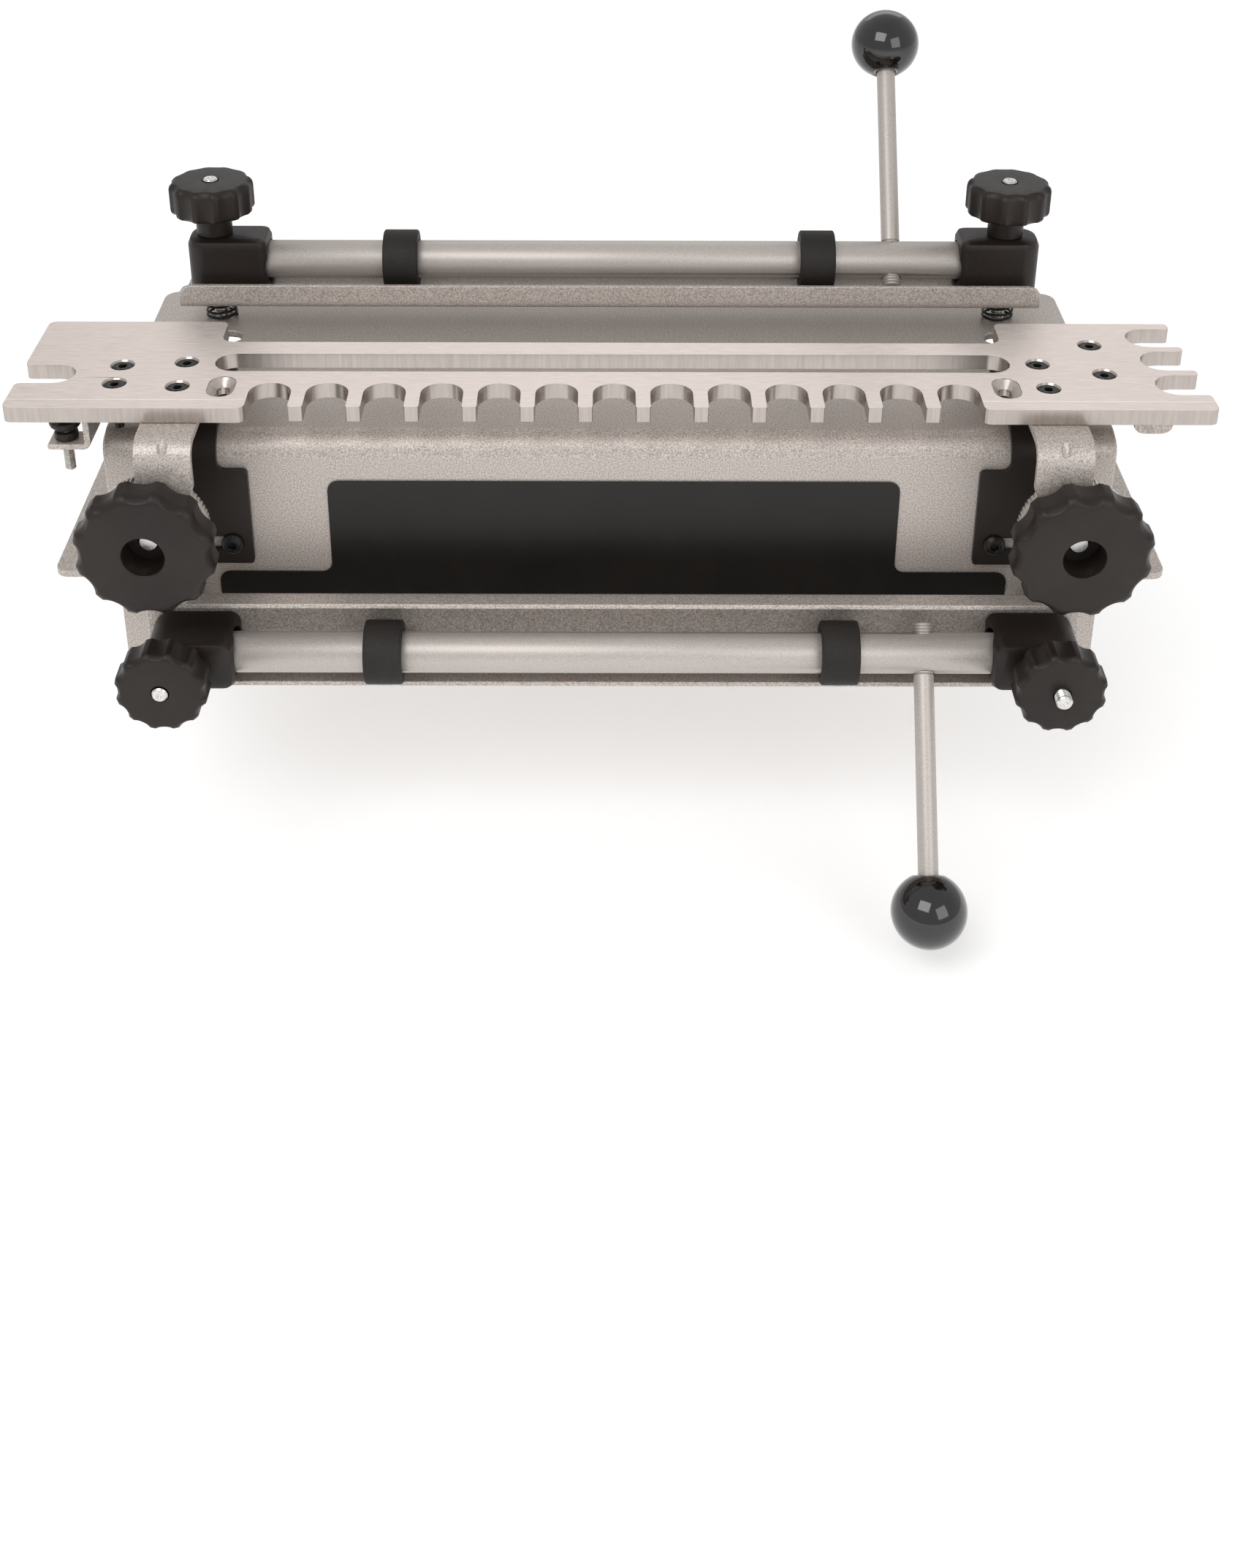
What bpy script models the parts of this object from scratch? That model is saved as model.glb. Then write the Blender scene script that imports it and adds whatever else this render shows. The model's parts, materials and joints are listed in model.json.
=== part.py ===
"""Dovetail jig: bent-sheet base with bench plate, aluminium finger template on two fork
brackets, and two cam-lock clamp bars (one on top of the base, one on its front).

Frame: +Z up, +X to the right of a person standing in front of the jig, +Y towards the back.
Origin: middle of the width, on the underside of the bench plate, 10 mm behind the base's
front face. The lengths below are in millimetres and count y from the front face; MM turns them
into metres, and the last lines move everything to the origin.
"""

import math

import bmesh
import bpy
from mathutils import Matrix, Vector
from mathutils.geometry import tessellate_polygon

for piece in list(bpy.data.objects):
    bpy.data.objects.remove(piece, do_unlink=True)

MM = 0.001
GAP = 0.3                 # clearance between neighbouring solids
ORIGIN_Y = 10.0           # the origin lies this far behind the base's front face
SIDES = (("left", -1), ("right", 1))

SPARE = 10.0              # extra length on a blank, cut away when it is trimmed
TRIM_SPAN = (-90.0, 90.0)  # heights between which a trimming outline reaches
DRILL_REACH = 15.0        # half length of a drilling tool

# ---- base -------------------------------------------------------------------------------
BASE_HALF_W = 201.2       # half width of the bent sheet
BASE_MID_X = -1.5         # the sheet sits a little to the left of the template
SHEET_T = 3.2
TOP_Z = 67.7              # top face of the work surface
NOSE_R = 10.0             # outer bend radius between top and front
TOP_BACK_Y = 141.0
TOP_CORNER_R = 7.0
FRONT_BOTTOM_Z = -44.3
SLOT_X0, SLOT_X1 = 161.0, 180.0     # slots through the work surface
SLOT_Y0, SLOT_Y1 = 87.0, 99.0
BENCH_X0, BENCH_X1 = -230.0, 227.5
BENCH_T = 3.2
BENCH_Y0, BENCH_Y1 = 4.0, 175.0
BENCH_FRONT_R, BENCH_BACK_R = 5.0, 8.0
BENCH_HOLE_X, BENCH_HOLE_Y, BENCH_HOLE_R = 216.0, (60.0, 140.0), 3.5
GUSSET_X0, GUSSET_X1 = 199.5, 202.5
GUSSET_MID_Y, GUSSET_BACK_Y = 60.0, 130.0
GUSSET_RAKE, GUSSET_R = 12.0, 5.0   # the back edge slopes forward by the rake at its foot

# ---- side stops -------------------------------------------------------------------------
STOP_T = 2.5
STOP_X0, STOP_XM, STOP_X1 = 146.0, 157.8, 176.0   # the strap over the nose starts at XM
STOP_Z0, STOP_Z1 = 11.2, 54.1
STOP_BACK_Y = 58.0
STOP_SCREW_X, STOP_SCREW_Z = 154.0, 20.7
STOP_SLOT_X, STOP_SLOT_HALF, STOP_SLOT_R = 158.5, 5.5, 3.0

# ---- nameplate --------------------------------------------------------------------------
PLATE_Z0, PLATE_Z1, PLATE_Z2 = -4.6, 6.2, 48.3
PLATE_HALF_LOW, PLATE_HALF_TOP = 161.0, 114.8
PLATE_T = 0.6

# ---- finger template: its y values count back from the line of the finger tips ----------
TEMPLATE_TOP = 91.7
TEMPLATE_T = 6.35
TEMPLATE_LOW = TEMPLATE_TOP - TEMPLATE_T
SEAT = TEMPLATE_LOW - GAP # top of everything that hangs under the template
TIP_Y = -20.0             # line of the finger tips
TEMPLATE_X0, TEMPLATE_X1 = -234.0, 231.7   # ends of the front edge
END_TAPER_L, END_TAPER_R = 0.012, 0.040    # the ends run inwards towards the back
FINGER_PITCH = 22.225
FINGER_SLOT_R = 8.25
FINGER_SLOT_CENTRE = 12.0 # centre of a slot's round end
FINGER_SLOT_COUNT = 13
TIP_CORNER_R = 0.8
SHOULDER_Y, SHOULDER_R = -1.5, 3.0
TEMPLATE_BACK = 76.5
NOTCH_X0, NOTCH_X1, NOTCH_Y = -159.3, 157.0, 57.4   # wide notch in the back edge
# open slots in the ends: front y, back y, x of the slot's bottom
RIGHT_END_SLOTS = ((11.6, 28.7, 211.4), (33.2, 50.2, 210.3), (54.5, 71.3, 208.9))
LEFT_END_SLOT = (19.7, 35.8, -211.8)
WINDOW_X, WINDOW_Y, WINDOW_HALF, WINDOW_R = -0.55, 38.5, 158.15, 7.9
# screw places (x, y)
BRACKET_SCREWS = [(-170.0, 38.6), (-170.0, 17.4), (168.6, 38.4), (169.2, 17.2)]
GAUGE_SCREWS = [(-195.0, 35.8), (-195.0, 19.8), (192.8, 56.0), (193.5, 29.6)]
SCREW_HOLE_R, SCREW_SINK_R, SCREW_SINK = 2.6, 4.95, 3.2
SCREW_DROP, SHORT_SCREW_Z = 8.0, 72.5      # reach below the seat; low end of the odd one
OBLONG_X, OBLONG_Y, OBLONG_HALF = 152.8, 17.0, 3.5  # countersunk oblong holes
OBLONG_R, OBLONG_SINK_R = 2.5, 5.4
OBLONG_SINK, OBLONG_RIM = 3.4, 0.4         # depths of the cone's lower and upper edges

# ---- fork brackets ----------------------------------------------------------------------
BRACKET_T = 2.7
BRACKET_FACE_Y, BRACKET_BACK_Y = -39.0, 25.0
BRACKET_R = 9.0
BRACKET_UP_X0, BRACKET_UP_X1 = 159.8, 181.5
BRACKET_UP_Z, BRACKET_CLEAR_Z = 66.0, 110.0  # upper bend of the outline; above the bracket
FORK_X0, FORK_X1 = 166.0, 190.0
FORK_LOW_Z, FORK_SIDE_Z, FORK_SLOT_TOP, FORK_SLOT_W = 14.7, 54.0, 54.7, 9.5
FORK_SIDE_R, FORK_TIP_R, FORK_MOUTH_R = 6.0, 2.5, 1.5
DENT_OUT = 0.7            # the dent's axis lies this far outside the bend

# ---- template studs and their knobs -----------------------------------------------------
TEMPLATE_STUD_X, TEMPLATE_STUD_Z = 178.0, 45.2
TEMPLATE_STUD_R = 4.0
TEMPLATE_STUD_BACK, TEMPLATE_STUD_TIP = -9.0, 43.5
STUD_NUT_R, STUD_NUT_FACE = 7.3, 6.0
BIG_KNOB_R = 27.35
BIG_KNOB_BACK, BIG_KNOB_FACE = 39.5, 55.0
BIG_KNOB_RECESS_R, BIG_KNOB_FLOOR = 8.15, 2.5
WHEEL_R, WHEEL_BACK, WHEEL_FRONT, WHEEL_CHAMFER = 22.0, 29.0, 35.5, 0.7

# ---- parts under the template's ends ----------------------------------------------------
GAUGE_T = 2.3
WEB_X = -203.2            # outer face of the left angle's web
FOOT_X, FOOT_Z = -220.0, 70.1       # end and underside of its foot
FLANGE_X = -186.0         # inner end of its top flange
ANGLE_Y0, ANGLE_WEB_Y1 = -15.0, -4.0
DEPTH_STOP_X, DEPTH_STOP_Y, DEPTH_STOP_HOLE_R = -213.5, -9.5, 2.45
TAB_X0, TAB_X1, TAB_Z = 201.5, 217.0, 77.2
TAB_Y = 6.5               # front of the right flange, behind the finger tips
TAB_INSET, TAB_OVERLAP, TAB_R = 0.3, 0.6, 4.0

# ---- clamps: c runs across the bar, s away from the base along the studs ----------------
CLAMP_STUD_R = 3.2
UPPER_Y = 114.0
LOWER_Z = -10.5
TUBE_S = 27.7
CAM_OFFSET = 1.0          # the hinge axis lies this far from the tube's axis, towards the base
HINGE_S = TUBE_S - CAM_OFFSET
TUBE_R, TUBE_CHAMFER = 8.25, 0.4
TUBE_HALF = 158.0
PIN_R, PIN_END, PIN_PLAY = 4.0, 165.0, 0.25
BORE_R, BORE_DEPTH = 9.7, 9.0
RING_R, RING_W, RING_CHAMFER = 12.9, 15.0, 0.8
BAR_HALF_LEN, BAR_W, BAR_H, BAR_T = 187.5, 39.0, 11.0, 2.2
BAR_S, BAR_BEND_R, BAR_END_R, BAR_HOLE_R = 12.3, 4.0, 5.0, 4.5
BAR_END_STEPS = (0.0, 0.4, 1.6, 5.0)       # stations inwards from the bar's end
BLOCK_X0, BLOCK_X1 = 149.7, 184.7
BLOCK_S0, BLOCK_S1, BLOCK_HALF = 14.8, 40.0, 11.0
BLOCK_INNER_R, BLOCK_OUTER_R = 4.0, 8.0    # corner radii at the block's inner and outer ends
BLOCK_STUD_PLAY = 0.4
KNOB_R, KNOB_T, NECK_R = 18.0, 14.0, 7.75
LEVER_LEN, ROD_R, BALL_R = 100.5, 4.0, 15.0
ROD_START, ROD_SHORT = -12.0, 3.0          # the rod stops short of the ball's centre
BALL_OPEN_R, BALL_BORE_SHORT, BALL_STEPS = 6.0, 2.6, 11
SPRING_R, WIRE_R = 6.5, 0.5
SPRING_STEPS, WIRE_SIDES = 10, 4           # stations per turn, sides of the wire


class Clamp:
    """Maps a clamp's own (x, c, s) to the jig's frame; the subclasses hold the sizes."""

    def on_stud(self, sign):
        """Height runs along s, on the axis of one side's stud."""
        x = self.stud_x[sign]
        return lambda p: self.place((x + p[0], self.stud_c + p[1], p[2]))

    def on_x(self, level, sign=1):
        """Outline in (c, s) about a level; height runs along x, outwards for the sign."""
        return lambda p: self.place((sign * p[2], p[0], level + p[1]))

    def on_lever(self, point):
        """Height runs along the lever from the cam bar's axis."""
        across, out = Vector(self.lever).normalized()
        x, side, along = point
        return self.place((self.lever_x + x, across * along - out * side,
                           TUBE_S + out * along + across * side))


class UpperClamp(Clamp):
    name = "upper"
    stud_x = {-1: -173.2, 1: 170.0}
    stud_c = 0.0
    stud_show = {-1: 0.8, 1: 0.8}   # stud length beyond the knob
    stand_off = 0.0                 # from the base's face to s = 0
    neck = 10.0                     # length of a knob's neck
    lever_x = 121.2
    lever = (0.64, 0.77)            # the rod's direction away from the tube, in (c, s)
    ring_x = {-1: -92.5, 1: 88.5}
    bar_trim = 3.2                  # the bar's right end stops short by this much
    spring_turns = 4

    def place(self, point):
        x, c, s = point
        return (x, UPPER_Y + c, TOP_Z + s)


class LowerClamp(Clamp):
    name = "lower"
    stud_x = {-1: -174.8, 1: 173.1}
    stud_c = 1.0
    stud_show = {-1: 1.0, 1: 5.0}
    stand_off = 7.0
    neck = 4.5
    lever_x = 123.5
    lever = (-0.79, 0.61)
    ring_x = {-1: -91.2, 1: 89.8}
    bar_trim = 0.0
    spring_turns = 6

    def place(self, point):
        x, c, s = point
        return (x, -self.stand_off - s, LOWER_Z + c)


UPPER, LOWER = UpperClamp(), LowerClamp()

# name: base colour, roughness, metallic
FINISHES = {
    "painted_steel": ((0.38, 0.34, 0.32), 0.45, 0.5),
    "tube_steel": ((0.50, 0.46, 0.44), 0.4, 0.6),
    "machined_aluminium": ((0.62, 0.58, 0.55), 0.32, 1.0),
    "black_plastic": ((0.022, 0.019, 0.017), 0.5, 0.0),
    "black_rubber": ((0.026, 0.022, 0.02), 0.7, 0.0),
    "gloss_black": ((0.01, 0.009, 0.009), 0.08, 0.0),
    "bright_steel": ((0.66, 0.65, 0.64), 0.25, 1.0),
    "black_oxide": ((0.03, 0.028, 0.026), 0.35, 0.8),
    "black_label": ((0.027, 0.022, 0.02), 0.4, 0.0),
}


def make_material(name, colour, roughness, metallic):
    material = bpy.data.materials.new(name)
    material.use_nodes = True
    inputs = material.node_tree.nodes["Principled BSDF"].inputs
    inputs["Base Color"].default_value = (*colour, 1.0)
    inputs["Roughness"].default_value = roughness
    inputs["Metallic"].default_value = metallic
    return material


MATERIALS = {name: make_material(name, *values) for name, values in FINISHES.items()}


# ---- placing: each maps an outline's (a, b) and its height to the jig's frame ------------

def along_z(x=0.0, y=0.0):
    return lambda p: (x + p[0], y + p[1], p[2])


def along_y(x=0.0, z=0.0):
    """Height runs towards -Y: it is the distance in front of the base's face."""
    return lambda p: (x + p[0], -p[2], z + p[1])


def from_side(point):
    """Outline in (y, z); height runs along X."""
    return (point[2], point[0], point[1])


def on_template_stud(sign):
    return along_y(sign * TEMPLATE_STUD_X, TEMPLATE_STUD_Z)


# ---- outlines ---------------------------------------------------------------------------

def circle(x, y, radius, sides=16):
    turns = [2 * math.pi * i / sides for i in range(sides)]
    return [(x + radius * math.cos(a), y + radius * math.sin(a)) for a in turns]


def half_turn(x, y, radius, start, steps):
    """Clockwise half circle from the start angle."""
    turns = [start - math.pi * i / steps for i in range(steps + 1)]
    return [(x + radius * math.cos(a), y + radius * math.sin(a)) for a in turns]


def quarter_arc(y, z, radius, steps):
    """From the front up to the top, about a bend's centre."""
    turns = [math.pi / 2 * i / steps for i in range(steps + 1)]
    return [(y - radius * math.cos(a), z + radius * math.sin(a)) for a in turns]


def obround(x, y, half_len, radius, steps=6, upright=True):
    """Slot outline; half_len is from its middle to the centre of either round end."""
    turns = [math.pi * i / steps for i in range(steps + 1)]
    points = [(radius * math.cos(a), half_len + radius * math.sin(a)) for a in turns]
    points += [(-a, -b) for a, b in points]
    if not upright:
        points = [(b, -a) for a, b in points]
    return [(x + a, y + b) for a, b in points]


def rounded(points, steps=3):
    """points: (x, y, radius), or (x, y) for a sharp corner. Returns the rounded polygon."""
    outline = []
    for i, point in enumerate(points):
        x, y, radius = (*point, 0)[:3]
        if radius <= 0:
            outline.append((x, y))
            continue
        corner = Vector((x, y))
        back = (Vector(points[i - 1][:2]) - corner).normalized()
        ahead = (Vector(points[(i + 1) % len(points)][:2]) - corner).normalized()
        half_angle = back.angle(ahead) / 2
        reach = radius / math.tan(half_angle)
        centre = corner + (back + ahead).normalized() * (radius / math.sin(half_angle))
        first, last = corner + back * reach - centre, corner + ahead * reach - centre
        start = math.atan2(first.y, first.x)
        sweep = math.atan2(first.x * last.y - first.y * last.x, first.dot(last))
        for step in range(steps + 1):
            a = start + sweep * step / steps
            outline.append((centre.x + radius * math.cos(a), centre.y + radius * math.sin(a)))
    return outline


def mirror_x(points, sign):
    """The outline for the right side, or its mirror image for sign = -1."""
    return points if sign > 0 else [(-x, y) for x, y in reversed(points)]


def side_span(sign, x0, x1):
    return sorted((sign * x0, sign * x1))


def bent_strip(front_y, top_z, radius, thickness, low_z, back_y, steps):
    """(y, z) outline of a sheet that runs up the front, over a bend and back along the top."""
    y, z = front_y + radius, top_z - radius
    inner = quarter_arc(y, z, radius - thickness, steps)
    return [(front_y, low_z), *quarter_arc(y, z, radius, steps), (back_y, top_z),
            (back_y, top_z - thickness), *reversed(inner), (front_y + thickness, low_z)]


# ---- solids -----------------------------------------------------------------------------

def shade(mesh, angle=35.0):
    mesh.shade_smooth()
    mesh.set_sharp_from_angle(angle=math.radians(angle))


def finish(name, body, material, angle=35.0):
    """Turns the bmesh into a named object in metres."""
    bmesh.ops.recalc_face_normals(body, faces=body.faces)
    mesh = bpy.data.meshes.new(name)
    body.to_mesh(mesh)
    body.free()
    mesh.transform(Matrix.Scale(MM, 4))
    shade(mesh, angle)
    piece = bpy.data.objects.new(name, mesh)
    bpy.context.scene.collection.objects.link(piece)
    mesh.materials.append(MATERIALS[material])
    return piece


def place_origin(piece, point):
    """Moves an object's origin to a point in millimetres without moving its shape."""
    origin = Vector(point) * MM
    piece.data.transform(Matrix.Translation(-origin))
    piece.location = origin


def join_rings(body, rings):
    """Skins neighbouring rings of vertices; a ring of one vertex is a pole."""
    for low, high in zip(rings, rings[1:]):
        count = max(len(low), len(high))
        for i in range(count):
            j = (i + 1) % count
            if len(low) == 1:
                body.faces.new((low[0], high[j], high[i]))
            elif len(high) == 1:
                body.faces.new((low[i], low[j], high[0]))
            else:
                body.faces.new((low[i], low[j], high[j], high[i]))


def add_solid(body, outer, span, place, holes=()):
    """outer and each hole are an outline, used at both heights of the span, or a stack of
    rings [(height, outline), ...] with the same number of points in each ring."""
    stacks = [loop if isinstance(loop[0][1], list) else [(height, loop) for height in span]
              for loop in (outer, *holes)]
    skins = [[[body.verts.new(place((a, b, height))) for a, b in outline]
              for height, outline in stack] for stack in stacks]
    for rings in skins:
        join_rings(body, rings)
    for end in (0, -1):
        loops = [[Vector((a, b, 0.0)) for a, b in stack[end][1]] for stack in stacks]
        verts = [vert for rings in skins for vert in rings[end]]
        for triangle in tessellate_polygon(loops):
            if len(set(triangle)) == 3:
                body.faces.new([verts[i] for i in triangle])
    return body


def plate(name, material, outer, span, place=along_z(), holes=()):
    return finish(name, add_solid(bmesh.new(), outer, span, place, holes), material)


def add_lathe(body, profile, sides, place, rim=None, closed=False):
    """profile: [(radius, height), ...]; radius 0 gives a pole. rim(radius, angle) may shape
    the rings; closed joins the last ring to the first."""
    rings = []
    for radius, height in profile:
        ring = []
        for i in range(sides if radius else 1):
            a = 2 * math.pi * i / sides
            r = rim(radius, a) if rim else radius
            ring.append(body.verts.new(place((r * math.cos(a), r * math.sin(a), height))))
        rings.append(ring)
    join_rings(body, rings + rings[:1] if closed else rings)
    return body


def lathe(name, material, profile, sides, place, rim=None, closed=False):
    return finish(name, add_lathe(bmesh.new(), profile, sides, place, rim, closed), material)


def boolean(target, body, operation="DIFFERENCE"):
    """Applies an exact Boolean with the bmesh."""
    tool = finish(target.name + "_tool", body, "bright_steel")
    modifier = target.modifiers.new("cut", "BOOLEAN")
    modifier.operation = operation
    modifier.solver = "EXACT"
    modifier.object = tool
    bpy.context.view_layer.update()
    evaluated = target.evaluated_get(bpy.context.evaluated_depsgraph_get())
    mesh = bpy.data.meshes.new_from_object(evaluated)
    target.modifiers.remove(modifier)
    target.data = mesh
    bpy.data.objects.remove(tool, do_unlink=True)
    shade(mesh)


def trim(target, outline, place, holes=()):
    """Keeps what lies inside the outline and outside the holes."""
    boolean(target, add_solid(bmesh.new(), outline, TRIM_SPAN, place, holes), "INTERSECT")


def drill(target, holes, level=0.0):
    """holes: (radius, sides, place). The tools reach equally far either side of the level."""
    body = bmesh.new()
    low, high = level - DRILL_REACH, level + DRILL_REACH
    for radius, sides, place in holes:
        add_lathe(body, [(0, low), (radius, low), (radius, high), (0, high)], sides, place)
    boolean(target, body)


def solid_rod(radius, low, high, chamfer=0.6):
    return [(0, low), (radius - chamfer, low), (radius, low + chamfer),
            (radius, high - chamfer), (radius - chamfer, high), (0, high)]


def flutes(rim_radius, depth, count=12):
    """Scalloped rim: hollows spaced round the circumference."""
    def rim(radius, angle):
        if radius < rim_radius * 0.9:
            return radius
        return radius - depth * (0.5 + 0.5 * math.cos(count * angle)) ** 1.4
    return rim


# ---- base, end gussets, bench plate and nameplate ---------------------------------------

def build_base():
    """One sheet bent over the nose, then cut to its plan outline and drilled."""
    section = bent_strip(0.0, TOP_Z, NOSE_R, SHEET_T, FRONT_BOTTOM_Z, TOP_BACK_Y + SPARE, 8)
    half = BASE_HALF_W + SPARE
    base = plate("base_shell", "painted_steel", section, (-half, half), from_side)

    x0, x1 = BASE_MID_X - BASE_HALF_W, BASE_MID_X + BASE_HALF_W
    clear_y = -2 * SPARE
    plan = rounded([(x0, clear_y), (x1, clear_y),
                    (x1, TOP_BACK_Y, TOP_CORNER_R), (x0, TOP_BACK_Y, TOP_CORNER_R)], 5)
    slot_r = (SLOT_Y1 - SLOT_Y0) / 2
    slot_half = (SLOT_X1 - SLOT_X0) / 2 - slot_r
    slot_x, slot_y = (SLOT_X0 + SLOT_X1) / 2, (SLOT_Y0 + SLOT_Y1) / 2
    holes, front_holes = [], []
    for _, sign in SIDES:
        holes.append(circle(UPPER.stud_x[sign], UPPER_Y, CLAMP_STUD_R + GAP))
        holes.append(obround(sign * slot_x, slot_y, slot_half, slot_r, upright=False))
        front_holes += [
            (TEMPLATE_STUD_R + GAP, 16, on_template_stud(sign)),
            (CLAMP_STUD_R + GAP, 16, LOWER.on_stud(sign)),
            (2.6, 12, along_y(sign * STOP_SCREW_X, STOP_SCREW_Z)),
        ]
    trim(base, plan, along_z(), holes)
    drill(base, front_holes)


def build_bench_plate():
    outline = rounded([(BENCH_X0, BENCH_Y0, BENCH_FRONT_R), (BENCH_X1, BENCH_Y0, BENCH_FRONT_R),
                       (BENCH_X1, BENCH_Y1, BENCH_BACK_R), (BENCH_X0, BENCH_Y1, BENCH_BACK_R)], 4)
    holes = [circle(sign * BENCH_HOLE_X, y, BENCH_HOLE_R) for _, sign in SIDES
             for y in BENCH_HOLE_Y]
    plate("bench_plate", "painted_steel", outline, (0.0, BENCH_T), holes=holes)


def build_gusset(side, sign):
    low, high = BENCH_T + GAP, TOP_Z - SHEET_T - GAP
    outline = rounded([
        (SHEET_T + GAP, low),
        *quarter_arc(NOSE_R, TOP_Z - NOSE_R, NOSE_R - SHEET_T - GAP, 4),
        (GUSSET_MID_Y, high), (GUSSET_BACK_Y, high, GUSSET_R),
        (GUSSET_BACK_Y - GUSSET_RAKE, low, GUSSET_R), (GUSSET_MID_Y, low),
    ])
    span = [x + BASE_MID_X for x in side_span(sign, GUSSET_X0, GUSSET_X1)]
    plate("end_gusset_" + side, "painted_steel", outline, span, from_side)


def build_nameplate():
    """A wide foot and a raised middle."""
    right = [(PLATE_HALF_LOW, PLATE_Z0, 0.5), (PLATE_HALF_LOW, PLATE_Z1, 4.5),
             (PLATE_HALF_TOP, PLATE_Z1, 4), (PLATE_HALF_TOP, PLATE_Z2, 4.5)]
    outline = rounded(right + [(-x, z, radius) for x, z, radius in reversed(right)], 4)
    plate("nameplate", "black_label", outline, (GAP, GAP + PLATE_T), along_y())


# ---- side stops: a front leg and a strap bent back over the nose ------------------------

def build_stop(side, sign):
    out = GAP + STOP_T
    section = bent_strip(-out, TOP_Z + out, NOSE_R + out, STOP_T, STOP_Z0 - SPARE, STOP_BACK_Y, 8)
    span = side_span(sign, STOP_X0 - SPARE, STOP_X1 + SPARE)
    stop = plate("stop_" + side, "black_plastic", section, span, from_side)
    clear_z = 90.0
    outline = rounded([(STOP_X0, STOP_Z0, 1.2), (STOP_X1, STOP_Z0, 1.2), (STOP_X1, clear_z),
                       (STOP_XM, clear_z), (STOP_XM, STOP_Z1, 3.0), (STOP_X0, STOP_Z1, 2)])
    slot = obround(STOP_SLOT_X, STOP_SCREW_Z, STOP_SLOT_HALF, STOP_SLOT_R, upright=False)
    trim(stop, mirror_x(outline, sign), along_y(), [mirror_x(slot, sign)])
    # clearance round the template stud's nut
    drill(stop, [(STUD_NUT_R + 2 * GAP, 24, on_template_stud(sign))])


def build_stop_screw(side, sign):
    """Button head with a round recess, bearing on the stop's face."""
    back = -9
    face = GAP + STOP_T + GAP
    profile = [(0, back), (2.3, back), (2.3, face), (4.7, face), (4.6, face + 0.8),
               (3.9, face + 2.0), (2.6, face + 2.6), (1.5, face + 2.6), (1.5, face + 0.8),
               (0, face + 0.8)]
    place = along_y(sign * STOP_SCREW_X, STOP_SCREW_Z)
    lathe("stop_screw_" + side, "black_oxide", profile, 18, place)


# ---- template studs, nuts, knobs and wheels ---------------------------------------------

def build_template_stud(side, sign):
    place = on_template_stud(sign)
    inner = TEMPLATE_STUD_R + GAP
    profile = solid_rod(TEMPLATE_STUD_R, TEMPLATE_STUD_BACK, TEMPLATE_STUD_TIP)
    lathe("template_stud_" + side, "bright_steel", profile, 16, place)
    plate("stud_nut_" + side, "bright_steel", circle(0, 0, STUD_NUT_R, 6), (GAP, STUD_NUT_FACE),
          place, [circle(0, 0, inner)])

    rim, back, face = BIG_KNOB_R, BIG_KNOB_BACK, BIG_KNOB_FACE
    floor = back + BIG_KNOB_FLOOR
    profile = [(inner, back), (14, back), (15, back + 0.8), (rim - 2, back + 1.2),
               (rim, back + 3.4), (rim, face - 4.0), (rim - 2.2, face - 1.0), (rim * 0.84, face),
               (BIG_KNOB_RECESS_R + 0.5, face), (BIG_KNOB_RECESS_R, face - 0.6),
               (BIG_KNOB_RECESS_R, floor), (inner, floor)]
    knob = lathe("template_knob_" + side, "black_plastic", profile, 48, place,
                 rim=flutes(rim, depth=1.6), closed=True)
    place_origin(knob, place((0, 0, (back + face) / 2)))

    back, front, bevel = WHEEL_BACK, WHEEL_FRONT, WHEEL_CHAMFER
    profile = [(inner, back), (WHEEL_R - bevel, back), (WHEEL_R, back + bevel),
               (WHEEL_R, front - bevel), (WHEEL_R - bevel, front), (inner, front)]
    wheel = lathe("depth_wheel_" + side, "bright_steel", profile, 32, place, closed=True)
    place_origin(wheel, place((0, 0, (back + front) / 2)))


# ---- finger template --------------------------------------------------------------------

def left_end(y):
    return TEMPLATE_X0 + END_TAPER_L * (y - SHOULDER_Y)


def right_end(y):
    return TEMPLATE_X1 - END_TAPER_R * (y - SHOULDER_Y)


def template_outline():
    """Anticlockwise seen from above, from the front left corner."""
    last = (FINGER_SLOT_COUNT - 1) // 2
    shoulder_x = last * FINGER_PITCH + FINGER_SLOT_R
    points = [(TEMPLATE_X0, SHOULDER_Y, SHOULDER_R), (-shoulder_x, SHOULDER_Y, SHOULDER_R)]
    for k in range(-last, last + 1):
        x = k * FINGER_PITCH
        if k > -last:
            points.append((x - FINGER_SLOT_R, 0, TIP_CORNER_R))
        points += half_turn(x, FINGER_SLOT_CENTRE, FINGER_SLOT_R, math.pi, 12)
        if k < last:
            points.append((x + FINGER_SLOT_R, 0, TIP_CORNER_R))
    points += [(shoulder_x, SHOULDER_Y, SHOULDER_R), (TEMPLATE_X1, SHOULDER_Y, SHOULDER_R)]
    for y0, y1, bottom_x in RIGHT_END_SLOTS:
        radius = (y1 - y0) / 2
        points.append((right_end(y0), y0, 1.5))
        points += half_turn(bottom_x + radius, (y0 + y1) / 2, radius, -math.pi / 2, 8)
        points.append((right_end(y1), y1, 1.5))
    points += [
        (right_end(TEMPLATE_BACK), TEMPLATE_BACK, 1.8),
        (NOTCH_X1, TEMPLATE_BACK, 3.0), (NOTCH_X1, NOTCH_Y, 4.5),
        (NOTCH_X0, NOTCH_Y, 4.5), (NOTCH_X0, TEMPLATE_BACK, 3.0),
        (left_end(TEMPLATE_BACK), TEMPLATE_BACK, 3.0),
    ]
    y0, y1, bottom_x = LEFT_END_SLOT
    radius = (y1 - y0) / 2
    points.append((left_end(y1), y1, 2.2))
    points += half_turn(bottom_x - radius, (y0 + y1) / 2, radius, math.pi / 2, 8)
    points.append((left_end(y0), y0, 2.2))
    return rounded(points)


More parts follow.
